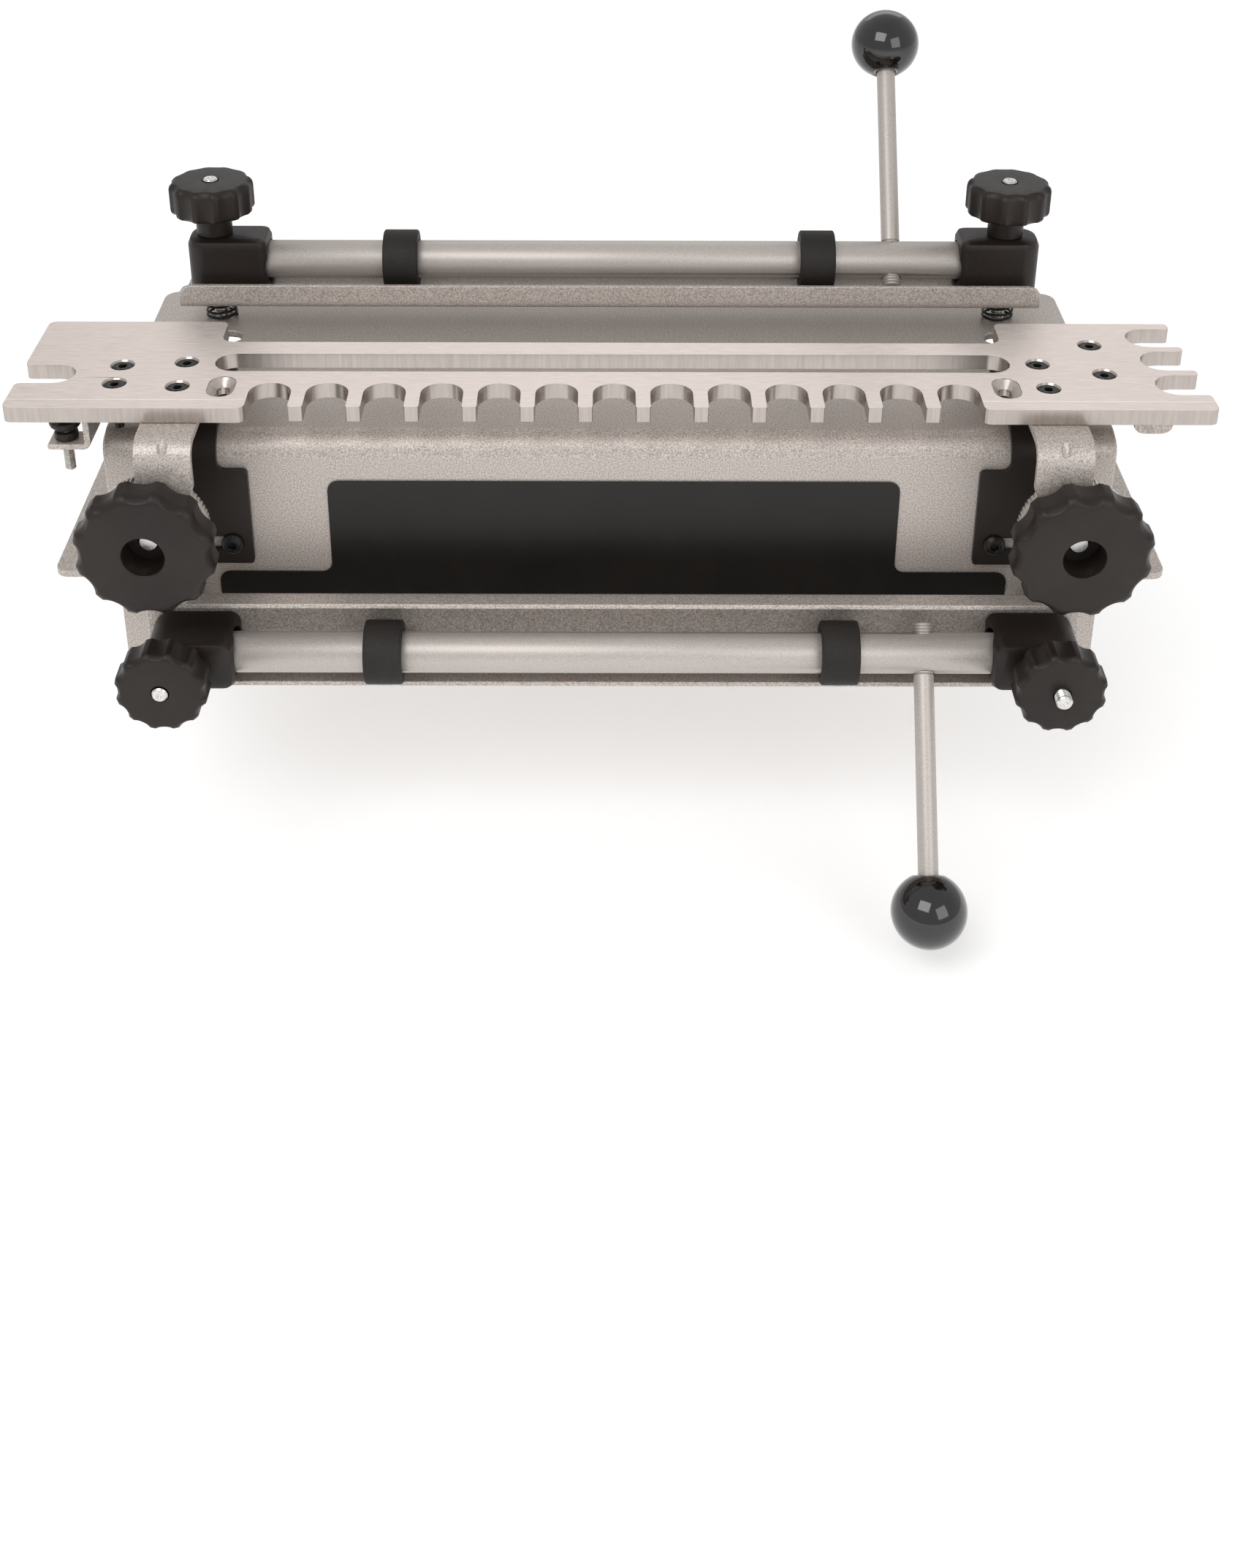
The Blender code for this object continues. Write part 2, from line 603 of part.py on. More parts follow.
def build_template():
    low, top = TEMPLATE_LOW, TEMPLATE_TOP
    holes = []
    for x, y in BRACKET_SCREWS + GAUGE_SCREWS:
        small, large = circle(x, y, SCREW_HOLE_R), circle(x, y, SCREW_SINK_R)
        holes.append([(low, small), (top - SCREW_SINK, small), (top, large)])
    for _, sign in SIDES:
        small, large = (obround(sign * OBLONG_X, OBLONG_Y, OBLONG_HALF, radius)
                        for radius in (OBLONG_R, OBLONG_SINK_R))
        holes.append([(low, small), (top - OBLONG_SINK, small), (top - OBLONG_RIM, large),
                      (top, large)])
    holes.append(obround(WINDOW_X, WINDOW_Y, WINDOW_HALF - WINDOW_R, WINDOW_R, 8, upright=False))
    plate("finger_template", "machined_aluminium", template_outline(), (low, top),
          along_z(0, TIP_Y), holes)


def build_template_screws():
    """Countersunk screws with a round recess in the head."""
    top = TEMPLATE_TOP
    for number, (x, y) in enumerate(BRACKET_SCREWS + GAUGE_SCREWS, 1):
        low = SHORT_SCREW_Z if (x, y) == GAUGE_SCREWS[1] else SEAT - SCREW_DROP
        profile = [(0, low), (2.1, low), (2.1, top - 3.7), (3.1, top - 2.1), (3.4, top - 1.7),
                   (3.4, top - 1.3), (1.6, top - 1.3), (1.6, top - 2.9), (0, top - 2.9)]
        lathe("template_screw_%d" % number, "black_oxide", profile, 14, along_z(x, TIP_Y + y))


# ---- fork brackets ----------------------------------------------------------------------

def fork_outline():
    """(x, z) of the right bracket; the flanks are rounded apart, each as a closed polygon."""
    slot_r = FORK_SLOT_W / 2
    mid = TEMPLATE_STUD_X
    inner = rounded([(BRACKET_UP_X0, BRACKET_CLEAR_Z), (BRACKET_UP_X0, BRACKET_UP_Z, FORK_SIDE_R),
                     (FORK_X0, FORK_SIDE_Z, FORK_SIDE_R), (FORK_X0, FORK_LOW_Z, FORK_TIP_R),
                     (mid - slot_r, FORK_LOW_Z, FORK_MOUTH_R)])
    slot = half_turn(mid, FORK_SLOT_TOP - slot_r, slot_r, math.pi, 8)
    outer = rounded([(mid + slot_r, FORK_LOW_Z, FORK_MOUTH_R), (FORK_X1, FORK_LOW_Z, FORK_TIP_R),
                     (FORK_X1, FORK_SIDE_Z, FORK_SIDE_R),
                     (BRACKET_UP_X1, BRACKET_UP_Z, FORK_SIDE_R),
                     (BRACKET_UP_X1, BRACKET_CLEAR_Z), (170, BRACKET_CLEAR_Z)])
    return inner + slot + outer


def build_bracket(side, sign):
    section = bent_strip(BRACKET_FACE_Y, SEAT, BRACKET_R, BRACKET_T, FORK_LOW_Z - SPARE,
                         BRACKET_BACK_Y, 6)
    span = side_span(sign, BRACKET_UP_X0 - SPARE, FORK_X1 + SPARE)
    bracket = plate("bracket_" + side, "painted_steel", section, span, from_side)
    trim(bracket, mirror_x(fork_outline(), sign), along_y())
    drill(bracket, [(SCREW_HOLE_R, 12, along_z(x, TIP_Y + y)) for x, y in BRACKET_SCREWS
                    if x * sign > 0], SEAT)

    def on_bend(point):
        """Height runs backwards and up at 45 degrees, along the outside of the bend."""
        slope = math.sqrt(0.5)
        x, side_step, along = point
        out = BRACKET_R + DENT_OUT + side_step
        return (sign * (BRACKET_UP_X0 + BRACKET_UP_X1) / 2 + x,
                BRACKET_FACE_Y + BRACKET_R + (along - out) * slope,
                SEAT - BRACKET_R + (along + out) * slope)

    # spindle-shaped dent in the outside of the bend
    dent = [(0, -5.0), (1.3, -3.6), (2.1, -1.4), (2.1, 1.4), (1.3, 3.6), (0, 5.0)]
    boolean(bracket, add_lathe(bmesh.new(), dent, 12, on_bend))


# ---- parts under the template's ends ----------------------------------------------------

def build_depth_stop():
    """Left: C-shaped angle, seen from the front, with the depth stop's screw and nut."""
    foot_top = FOOT_Z + GAUGE_T
    section = rounded([
        (FLANGE_X, SEAT), (WEB_X - GAUGE_T, SEAT), (WEB_X - GAUGE_T, foot_top, 0.8),
        (FOOT_X, foot_top, 0.6), (FOOT_X, FOOT_Z, 0.6), (WEB_X, FOOT_Z, 3.0),
        (WEB_X, SEAT - GAUGE_T, 0.6), (FLANGE_X, SEAT - GAUGE_T),
    ], 4)
    angle = plate("depth_stop_bracket", "painted_steel", section, (-22.0, -ANGLE_Y0), along_y())
    # in plan the top flange reaches both screws, the web and the foot are narrower
    notch_x, clear_left, clear_right, clear_back = WEB_X - 0.5, -235, -182, 30.0
    plan = rounded([(clear_left, ANGLE_Y0), (clear_right, ANGLE_Y0), (clear_right, clear_back),
                    (notch_x, clear_back), (notch_x, ANGLE_WEB_Y1, 0.4),
                    (clear_left, ANGLE_WEB_Y1)])
    holes = [circle(DEPTH_STOP_X, DEPTH_STOP_Y, DEPTH_STOP_HOLE_R, 12)]
    holes += [circle(x, TIP_Y + y, SCREW_HOLE_R, 12) for x, y in GAUGE_SCREWS if x < 0]
    trim(angle, plan, along_z(), holes)

    place = along_z(DEPTH_STOP_X, DEPTH_STOP_Y)
    low = 59.0
    screw = [(0, low), (1.6, low), (2.15, low + 0.6), (2.15, SEAT - 3.4), (4.6, SEAT - 3.4),
             (6.2, SEAT - 1.8), (6.2, SEAT), (0, SEAT)]
    lathe("depth_stop_screw", "bright_steel", screw, 16, place)
    bore = DEPTH_STOP_HOLE_R
    nut = [(bore, foot_top + GAP), (4.3, foot_top + GAP), (4.7, foot_top + 1.2),
           (4.7, foot_top + 2.8), (4.3, foot_top + 3.6), (bore, foot_top + 3.6)]
    lathe("depth_stop_nut", "black_plastic", nut, 16, place, closed=True)


def build_gauge_tab():
    """Right: flange held by two screws, with a tab that hangs under the front edge."""
    step_y, back_y = TAB_Y + 4, 63
    flange = rounded([(190, TAB_Y, 2), (TAB_X1, TAB_Y), (TAB_X1, step_y, 0.6), (206, step_y),
                      (206, back_y, 3), (184, back_y, 3), (184, 22, 2), (190, 22)])
    holes = [circle(x, y, SCREW_HOLE_R, 12) for x, y in GAUGE_SCREWS if x > 0]
    tab = plate("gauge_tab", "painted_steel", flange, (SEAT - GAUGE_T, SEAT),
                along_z(0, TIP_Y), holes)
    x1, top = TAB_X1 - TAB_INSET, SEAT - TAB_OVERLAP
    leg = rounded([(TAB_X0, top), (TAB_X0, TAB_Z, TAB_R), (x1, TAB_Z, TAB_R), (x1, top)])
    face = -(TIP_Y + TAB_Y + TAB_INSET)
    boolean(tab, add_solid(bmesh.new(), leg, (face - GAUGE_T, face), along_y()), "UNION")


# ---- clamps -----------------------------------------------------------------------------

def channel(flange_s):
    """(c, s) section of the pressure bar, its flanges pointing away from the base."""
    half, bend, inner_r = BAR_W / 2, BAR_BEND_R, BAR_BEND_R - BAR_T
    turns = [math.pi / 2 * i / 4 for i in range(5)]
    outer = [(-half, flange_s)]
    outer += [(-half + bend - bend * math.cos(a), bend - bend * math.sin(a)) for a in turns]
    inner = [(half - BAR_T, flange_s)]
    inner += [(half - bend + inner_r * math.cos(a), bend - inner_r * math.sin(a)) for a in turns]
    return (outer + [(-c, s) for c, s in reversed(outer)]
            + inner + [(-c, s) for c, s in reversed(inner)])


def build_pressure_bar(clamp):
    """The flanges' corners are rounded at both ends."""
    radius = BAR_END_R
    stations = [(-BAR_HALF_LEN + step,
                 BAR_H - radius + math.sqrt(max(0.0, radius ** 2 - (radius - step) ** 2)))
                for step in BAR_END_STEPS]
    stations += [(-x - clamp.bar_trim, s) for x, s in reversed(stations)]
    bar = plate(clamp.name + "_pressure_bar", "painted_steel",
                [(x, channel(s)) for x, s in stations], None, clamp.on_x(BAR_S))
    drill(bar, [(BAR_HOLE_R, 16, clamp.on_stud(sign)) for _, sign in SIDES], BAR_S)


def build_cam_bar(clamp):
    """Round bar with an off-centre journal at each end and a cross hole for the lever."""
    # radius, offset along s, x
    end = [(PIN_R, -CAM_OFFSET, PIN_END), (PIN_R, -CAM_OFFSET, TUBE_HALF),
           (TUBE_R - TUBE_CHAMFER, 0, TUBE_HALF), (TUBE_R, 0, TUBE_HALF - TUBE_CHAMFER)]
    stations = [(radius, offset, -x) for radius, offset, x in end] + end[::-1]
    stack = [(x, circle(0, offset, radius, 28)) for radius, offset, x in stations]
    bar = plate(clamp.name + "_cam_bar", "tube_steel", stack, None, clamp.on_x(TUBE_S))
    drill(bar, [(ROD_R + GAP, 16, clamp.on_lever)])
    place_origin(bar, clamp.place((0, 0, HINGE_S)))


def build_ring(clamp, side, sign):
    bore, bevel = TUBE_R + GAP, RING_CHAMFER
    x0, x1 = clamp.ring_x[sign] - RING_W / 2, clamp.ring_x[sign] + RING_W / 2
    profile = [(bore, x0), (RING_R - bevel, x0), (RING_R, x0 + bevel), (RING_R, x1 - bevel),
               (RING_R - bevel, x1), (bore, x1)]
    ring = lathe(clamp.name + "_ring_" + side, "black_rubber", profile, 28,
                 clamp.on_x(TUBE_S), closed=True)
    place_origin(ring, clamp.place((0, 0, HINGE_S)))


def build_lever(clamp):
    hinge = clamp.place((0, 0, HINGE_S))
    rod = lathe(clamp.name + "_lever_rod", "bright_steel",
                solid_rod(ROD_R, ROD_START, LEVER_LEN - ROD_SHORT), 16, clamp.on_lever)
    place_origin(rod, hinge)
    bore, start = ROD_R + GAP, math.asin(BALL_OPEN_R / BALL_R)
    bore_end = LEVER_LEN - BALL_BORE_SHORT
    profile = [(0, bore_end), (bore, bore_end), (bore, LEVER_LEN - BALL_R * math.cos(start))]
    for i in range(BALL_STEPS):
        a = start + (math.pi - start) * i / BALL_STEPS
        profile.append((BALL_R * math.sin(a), LEVER_LEN - BALL_R * math.cos(a)))
    profile.append((0, LEVER_LEN + BALL_R))
    ball = lathe(clamp.name + "_lever_ball", "gloss_black", profile, 24, clamp.on_lever)
    place_origin(ball, hinge)


def build_end_block(clamp, side, sign):
    """Rounded body, bored for the tube, its pin and the stud."""
    def ring(inset, inner_r):
        x0, x1, half = BLOCK_X0 + inset, BLOCK_X1 - inset, BLOCK_HALF - inset
        outer_r = inner_r + BLOCK_OUTER_R - BLOCK_INNER_R
        return mirror_x(rounded([(x0, -half, inner_r), (x1, -half, outer_r),
                                 (x1, half, outer_r), (x0, half, inner_r)], 4), sign)

    # height s, inset of the outline, corner radius at the inner end
    stations = [(BLOCK_S0, 0.6, 3.4), (BLOCK_S0 + 0.6, 0.0, BLOCK_INNER_R),
                (BLOCK_S1 - 3.5, 0.0, BLOCK_INNER_R), (BLOCK_S1 - 1.0, 1.0, 3.5),
                (BLOCK_S1, 3.4, 2.0)]
    stack = [(height, ring(inset, inner_r)) for height, inset, inner_r in stations]
    stud_bore = circle(clamp.stud_x[sign], clamp.stud_c, CLAMP_STUD_R + BLOCK_STUD_PLAY)
    block = plate(clamp.name + "_end_block_" + side, "black_plastic", stack,
                  (BLOCK_S0, BLOCK_S1), clamp.place, [stud_bore])
    start, step, end = BLOCK_X0 - 4, BLOCK_X0 + BORE_DEPTH, PIN_END + GAP
    pin_bore = PIN_R + PIN_PLAY
    bore = [(0, start), (BORE_R, start), (BORE_R, step), (pin_bore, step), (pin_bore, end),
            (0, end)]
    boolean(block, add_lathe(bmesh.new(), bore, 24, clamp.on_x(HINGE_S, sign)))


def build_clamp_knob(clamp, side, sign):
    bore, neck_start = CLAMP_STUD_R + GAP, BLOCK_S1 + GAP
    back = neck_start + clamp.neck
    face = back + KNOB_T
    profile = [(bore, neck_start), (NECK_R, neck_start), (NECK_R, back), (KNOB_R - 1.6, back),
               (KNOB_R, back + 2.4), (KNOB_R, face - 3.4), (KNOB_R - 1.4, face - 0.9),
               (KNOB_R * 0.84, face), (bore, face)]
    place = clamp.on_stud(sign)
    knob = lathe(clamp.name + "_knob_" + side, "black_plastic", profile, 48, place,
                 rim=flutes(KNOB_R, depth=1.2), closed=True)
    place_origin(knob, place((0, 0, back)))


def build_clamp_stud(clamp, side, sign):
    """Carriage-type stud: round head behind the sheet, plain shank to its tip."""
    seat = -clamp.stand_off - SHEET_T - GAP
    tip = BLOCK_S1 + GAP + clamp.neck + KNOB_T + clamp.stud_show[sign]
    profile = [(0, seat - 4.2), (6.0, seat - 4.2), (7.5, seat - 3.0), (7.5, seat),
               (CLAMP_STUD_R, seat), (CLAMP_STUD_R, tip - 0.6), (CLAMP_STUD_R - 0.6, tip),
               (0, tip)]
    lathe(clamp.name + "_stud_" + side, "bright_steel", profile, 16, clamp.on_stud(sign))


def build_spring(clamp, side, sign):
    """Coil on the stud, from the base's face to the pressure bar."""
    place = clamp.on_stud(sign)
    low, high = -clamp.stand_off + GAP + WIRE_R, BAR_S - GAP - WIRE_R
    count = clamp.spring_turns * SPRING_STEPS
    body = bmesh.new()
    rings = []
    for i in range(count + 1):
        turn, height = 2 * math.pi * i / SPRING_STEPS, low + (high - low) * i / count
        rings.append([body.verts.new(place((radius * math.cos(turn), radius * math.sin(turn),
                                            height + rise)))
                      for radius, rise in circle(SPRING_R, 0, WIRE_R, WIRE_SIDES)])
    join_rings(body, rings)
    body.faces.new(rings[0][::-1])
    body.faces.new(rings[-1])
    finish(clamp.name + "_spring_" + side, body, "black_oxide", angle=60.0)


# ---- assembly ---------------------------------------------------------------------------

build_base()
build_bench_plate()
build_nameplate()
build_template()
build_template_screws()
build_depth_stop()
build_gauge_tab()
for side_sign in SIDES:
    for build in (build_gusset, build_stop, build_stop_screw, build_template_stud,
                  build_bracket):
        build(*side_sign)
for clamp_unit in (UPPER, LOWER):
    for build in (build_pressure_bar, build_cam_bar, build_lever):
        build(clamp_unit)
    for side_sign in SIDES:
        for build in (build_ring, build_end_block, build_clamp_knob, build_clamp_stud,
                      build_spring):
            build(clamp_unit, *side_sign)

for piece in bpy.data.objects:
    piece.location.y -= ORIGIN_Y * MM
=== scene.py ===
"""Looks of a dovetail jig: materials, turned and threaded parts, springs, floor, light and camera.

The jig is long in X, its front faces -Y and Z is up. Lengths of its parts are in millimetres
and are scaled to metres by MM. Shaders, floor, lights and camera are in metres.
"""

import json
import math

import bmesh
import bpy
from mathutils import Matrix, Vector

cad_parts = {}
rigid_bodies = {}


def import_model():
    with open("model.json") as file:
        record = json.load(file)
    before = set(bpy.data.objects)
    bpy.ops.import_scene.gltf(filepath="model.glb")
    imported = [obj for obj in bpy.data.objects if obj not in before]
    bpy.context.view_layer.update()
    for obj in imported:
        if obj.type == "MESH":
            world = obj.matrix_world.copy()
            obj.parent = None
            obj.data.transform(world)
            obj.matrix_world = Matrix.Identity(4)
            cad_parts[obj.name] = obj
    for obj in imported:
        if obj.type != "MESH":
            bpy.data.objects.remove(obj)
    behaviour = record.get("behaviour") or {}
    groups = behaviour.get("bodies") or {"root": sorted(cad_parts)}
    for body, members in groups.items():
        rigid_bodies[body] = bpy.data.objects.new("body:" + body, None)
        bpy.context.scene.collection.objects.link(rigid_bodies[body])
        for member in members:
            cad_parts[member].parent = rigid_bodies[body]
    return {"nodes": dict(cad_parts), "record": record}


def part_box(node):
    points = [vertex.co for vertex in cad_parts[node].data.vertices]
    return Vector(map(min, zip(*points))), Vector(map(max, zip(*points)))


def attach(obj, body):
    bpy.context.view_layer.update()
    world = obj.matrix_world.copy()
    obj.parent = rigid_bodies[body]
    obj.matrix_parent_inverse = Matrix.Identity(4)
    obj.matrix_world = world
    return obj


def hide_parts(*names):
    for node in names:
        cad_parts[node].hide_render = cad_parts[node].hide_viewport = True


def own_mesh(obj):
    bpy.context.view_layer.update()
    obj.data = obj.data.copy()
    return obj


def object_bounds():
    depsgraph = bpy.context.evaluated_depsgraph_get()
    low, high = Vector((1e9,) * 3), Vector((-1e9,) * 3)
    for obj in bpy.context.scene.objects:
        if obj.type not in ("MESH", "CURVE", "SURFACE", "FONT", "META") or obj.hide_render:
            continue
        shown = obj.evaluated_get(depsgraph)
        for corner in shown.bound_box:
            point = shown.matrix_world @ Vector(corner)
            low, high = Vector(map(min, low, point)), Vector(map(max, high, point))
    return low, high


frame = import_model()
cad_lo, cad_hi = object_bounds()
for ob in list(bpy.data.objects):
    if ob.type in ("CAMERA", "LIGHT") or (ob.type == "MESH" and ob.name not in frame["nodes"]):
        bpy.data.objects.remove(ob, do_unlink=True)

MM = 0.001
SIDES = ("left", "right")
BODY = {
    member: body
    for body, members in frame["record"]["behaviour"]["bodies"].items()
    for member in members
}
SLOT = {part["node"]: part["material_slot"] for part in frame["record"]["subparts"]}

# ---- materials ---------------------------------------------------------------------------

MATERIALS = {}


def srgb(*channels):
    """Linear RGBA from sRGB channels of 0 to 255."""
    def linear(value):
        value /= 255.0
        return value / 12.92 if value <= 0.04045 else ((value + 0.055) / 1.055) ** 2.4
    return (*map(linear, channels), 1.0)


def grey(value):
    """A grey given as a linear value."""
    return (value, value, value, 1)


class Shader:
    """A new material and short calls that add nodes to it."""

    def __init__(self, name):
        self.material = bpy.data.materials.new(name)
        self.material.use_nodes = True
        self.tree = self.material.node_tree
        self.surface = self.tree.nodes["Principled BSDF"]
        self.coord = self.node("TexCoord").outputs["Object"]
        MATERIALS[name] = self.material

    def node(self, kind):
        return self.tree.nodes.new("ShaderNode" + kind)

    def feed(self, socket, value):
        """Link an output to the socket, or set the socket to a plain value."""
        if isinstance(value, bpy.types.NodeSocket):
            self.tree.links.new(value, socket)
        else:
            socket.default_value = value

    def set(self, **inputs):
        """Feed the Principled inputs; underscores stand for spaces."""
        for name, value in inputs.items():
            self.feed(self.surface.inputs[name.replace("_", " ")], value)

    def noise(self, scale, detail=3.0, roughness=0.5, stretch=None):
        """Noise in object space; stretch multiplies the coordinates along X, Y and Z."""
        vector = self.coord
        if stretch:
            mapping = self.node("Mapping")
            mapping.inputs["Scale"].default_value = stretch
            self.feed(mapping.inputs["Vector"], vector)
            vector = mapping.outputs["Vector"]
        noise = self.node("TexNoise")
        noise.inputs["Scale"].default_value = scale
        noise.inputs["Detail"].default_value = detail
        noise.inputs["Roughness"].default_value = roughness
        self.feed(noise.inputs["Vector"], vector)
        return noise.outputs["Fac"]

    def ramp(self, factor, stops):
        """Colour ramp through (position, colour) stops."""
        ramp = self.node("ValToRGB")
        elements = ramp.color_ramp.elements
        elements[0].position, elements[0].color = stops[0]
        elements[1].position, elements[1].color = stops[-1]
        for position, colour in stops[1:-1]:
            elements.new(position).color = colour
        self.feed(ramp.inputs["Fac"], factor)
        return ramp.outputs["Color"]

    def tones(self, factor, dark, light):
        """Two-colour ramp over the usual range of a noise."""
        return self.ramp(factor, [(0.3, dark), (0.7, light)])

    def span(self, value, to_low, to_high, from_low=0.3, from_high=0.7):
        """Map a range, by default the usual range of a noise, onto another."""
        span = self.node("MapRange")
        span.inputs["From Min"].default_value = from_low
        span.inputs["From Max"].default_value = from_high
        span.inputs["To Min"].default_value = to_low
        span.inputs["To Max"].default_value = to_high
        self.feed(span.inputs["Value"], value)
        return span.outputs["Result"]

    def mix(self, factor, first, second, blend="MIX"):
        mix = self.node("Mix")
        mix.data_type = "RGBA"
        mix.blend_type = blend
        # colour sockets of the Mix node: factor 0, colours 6 and 7, result 2
        for index, value in ((0, factor), (6, first), (7, second)):
            self.feed(mix.inputs[index], value)
        return mix.outputs[2]

    def maths(self, operation, first, second):
        maths = self.node("Math")
        maths.operation = operation
        self.feed(maths.inputs[0], first)
        self.feed(maths.inputs[1], second)
        return maths.outputs[0]

    def bump(self, height, strength, distance):
        bump = self.node("Bump")
        bump.inputs["Strength"].default_value = strength
        bump.inputs["Distance"].default_value = distance
        self.feed(bump.inputs["Height"], height)
        self.feed(self.surface.inputs["Normal"], bump.outputs["Normal"])


def silver_coat(name, dark, light, metallic, roughness, bump):
    """Metallic powder coat: fine bright and dark flakes over a slow tone change."""
    shader = Shader(name)
    flakes = shader.noise(scale=1700.0, detail=2.0, roughness=0.65)
    slow = shader.noise(scale=14.0, detail=2.0)
    middling = tuple((a + b) / 2 for a, b in zip(dark, light))
    colour = shader.ramp(flakes, [(0.34, dark), (0.5, middling), (0.66, light)])
    tone = shader.tones(slow, grey(0.95), grey(1))
    shader.set(
        Base_Color=shader.mix(1.0, colour, tone, blend="MULTIPLY"),
        Metallic=metallic,
        Roughness=shader.span(flakes, to_low=roughness - 0.05, to_high=roughness + 0.07),
    )
    shader.bump(shader.noise(scale=1500.0, detail=2.0), strength=bump, distance=0.00006)


def template_aluminium():
    """Flat faces brushed along X; upright walls smoother, with milling bands in a darker colour
    that is painted shade.
    """
    shader = Shader("template_aluminium")
    grain = shader.noise(scale=4.0, detail=5.0, roughness=0.65, stretch=(18.0, 520.0, 520.0))
    fine = shader.noise(scale=2.0, stretch=(80.0, 1500.0, 1500.0))
    grain_part = shader.maths("MULTIPLY", grain, 0.45)
    fine_part = shader.maths("MULTIPLY", fine, 0.55)
    brushed = shader.maths("ADD", grain_part, fine_part)

    # flat: 1 where the surface faces up or down, 0 on walls
    geometry = shader.node("NewGeometry")
    normal = shader.node("SeparateXYZ")
    shader.feed(normal.inputs[0], geometry.outputs["True Normal"])
    upward = shader.maths("ABSOLUTE", normal.outputs["Z"], 0.0)
    flat = shader.span(upward, to_low=0.0, to_high=1.0, from_low=0.55, from_high=0.95)

    wall = shader.noise(scale=2.0, detail=2.0, stretch=(500.0, 500.0, 30.0))
    face_colour = shader.ramp(brushed, [
        (0.36, srgb(212, 200, 192)), (0.5, srgb(226, 214, 207)), (0.64, srgb(240, 230, 223)),
    ])
    # upright walls: real milling bands, but darker overall than the faces as painted shade
    milled_wall_colour_with_painted_shade = shader.tones(wall, srgb(172, 163, 157), srgb(184, 176, 170))
    colour = shader.mix(flat, milled_wall_colour_with_painted_shade, face_colour)
    whole = {"from_low": 0.0, "from_high": 1.0}
    metallic = shader.span(flat, to_low=0.95, to_high=0.72, **whole)
    base_roughness = shader.span(flat, to_low=0.26, to_high=0.40, **whole)
    streaks = shader.span(brushed, to_low=-0.05, to_high=0.07, from_low=0.35, from_high=0.65)
    streaks = shader.maths("MULTIPLY", flat, streaks)
    shader.set(
        Base_Color=colour,
        Metallic=metallic,
        Roughness=shader.maths("ADD", base_roughness, streaks),
        Anisotropic=0.3,
    )
    shader.bump(shader.maths("MULTIPLY", brushed, flat), strength=0.2, distance=0.00004)


def bright_zinc():
    shader = Shader("bright_zinc")
    mottle = shader.noise(scale=420.0)
    shader.set(
        Base_Color=shader.tones(mottle, srgb(196, 194, 190), srgb(226, 224, 220)),
        Metallic=1.0,
        Roughness=shader.span(mottle, to_low=0.18, to_high=0.32),
    )
    shader.bump(mottle, strength=0.15, distance=0.00005)


def black_steel():
    shader = Shader("black_steel")
    mottle = shader.noise(scale=600.0)
    shader.set(
        Base_Color=shader.tones(mottle, srgb(18, 17, 16), srgb(38, 36, 34)),
        Metallic=0.5,
        Roughness=shader.span(mottle, to_low=0.28, to_high=0.42),
    )


def moulded(name, dark, light, roughness, grain, bump):
    """Matt black with a fine grain; grain is the scale of its noise."""
    shader = Shader(name)
    texture = shader.noise(scale=grain, roughness=0.6)
    slow = shader.noise(scale=40.0, detail=2.0)
    shader.set(
        Base_Color=shader.tones(slow, dark, light),
        Roughness=shader.span(texture, to_low=roughness - 0.06, to_high=roughness + 0.08),
        Specular_IOR_Level=0.32,
    )
    shader.bump(texture, strength=bump, distance=0.0001)


def gloss_black():
    shader = Shader("gloss_black")
    cloud = shader.noise(scale=60.0, detail=2.0)
    shader.set(
        Base_Color=shader.tones(cloud, srgb(14, 12, 12), srgb(24, 21, 20)),
        Roughness=shader.span(cloud, to_low=0.06, to_high=0.11),
        Coat_Weight=0.6,
        Coat_Roughness=0.03,
    )


def scribe_line():
    shader = Shader("scribe_line")
    worn = shader.noise(scale=700.0)
    shader.set(
        Base_Color=shader.tones(worn, srgb(236, 231, 226), srgb(250, 247, 244)),
        Metallic=0.6,
        Roughness=0.35,
    )


silver_coat("painted_silver", dark=srgb(150, 141, 134), light=srgb(214, 205, 198),
            metallic=0.42, roughness=0.44, bump=0.28)
silver_coat("bar_silver", dark=srgb(176, 168, 162), light=srgb(194, 187, 181),
            metallic=0.45, roughness=0.42, bump=0.12)
template_aluminium()
bright_zinc()
black_steel()
moulded("black_plastic", dark=srgb(27, 21, 18), light=srgb(36, 29, 25),
        roughness=0.42, grain=1500.0, bump=0.35)
moulded("black_rubber", dark=srgb(28, 25, 23), light=srgb(38, 34, 31),
        roughness=0.62, grain=900.0, bump=0.5)
moulded("black_label", dark=srgb(20, 18, 16), light=srgb(26, 23, 21),
        roughness=0.34, grain=1100.0, bump=0.08)
gloss_black()
scribe_line()

# ---- objects -----------------------------------------------------------------------------


def link_object(name, data):
    ob = bpy.data.objects.new(name, data)
    bpy.context.scene.collection.objects.link(ob)
    return ob


def add_piece(name, bm, material, body, sharp=38.0):
    """Turn bm into an object riding on body; edges over sharp degrees stay crisp."""
    bmesh.ops.recalc_face_normals(bm, faces=bm.faces)
    mesh = bpy.data.meshes.new(name)
    bm.to_mesh(mesh)
    bm.free()
    mesh.shade_smooth()
    mesh.set_sharp_from_angle(angle=math.radians(sharp))
    ob = link_object(name, mesh)
    mesh.materials.append(MATERIALS[material])
    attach(ob, body)
    return ob


def stand_in(node, suffix, bm, material, sharp=38.0, body=None):
    """A piece that takes the place of a CAD node."""
    ob = add_piece(f"{node}_{suffix}", bm, material, body or BODY[node], sharp=sharp)
    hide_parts(node)
    return ob


def cad_mesh(node):
    bm = bmesh.new()
    bm.from_mesh(frame["nodes"][node].data)
    bmesh.ops.remove_doubles(bm, verts=bm.verts, dist=2e-6)
    return bm


# ---- places ------------------------------------------------------------------------------
# A place maps a point (x, y, height) of a turned part, height along its axis, into the jig.


def middle(node):
    low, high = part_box(node)
    return (low + high) / 2 / MM


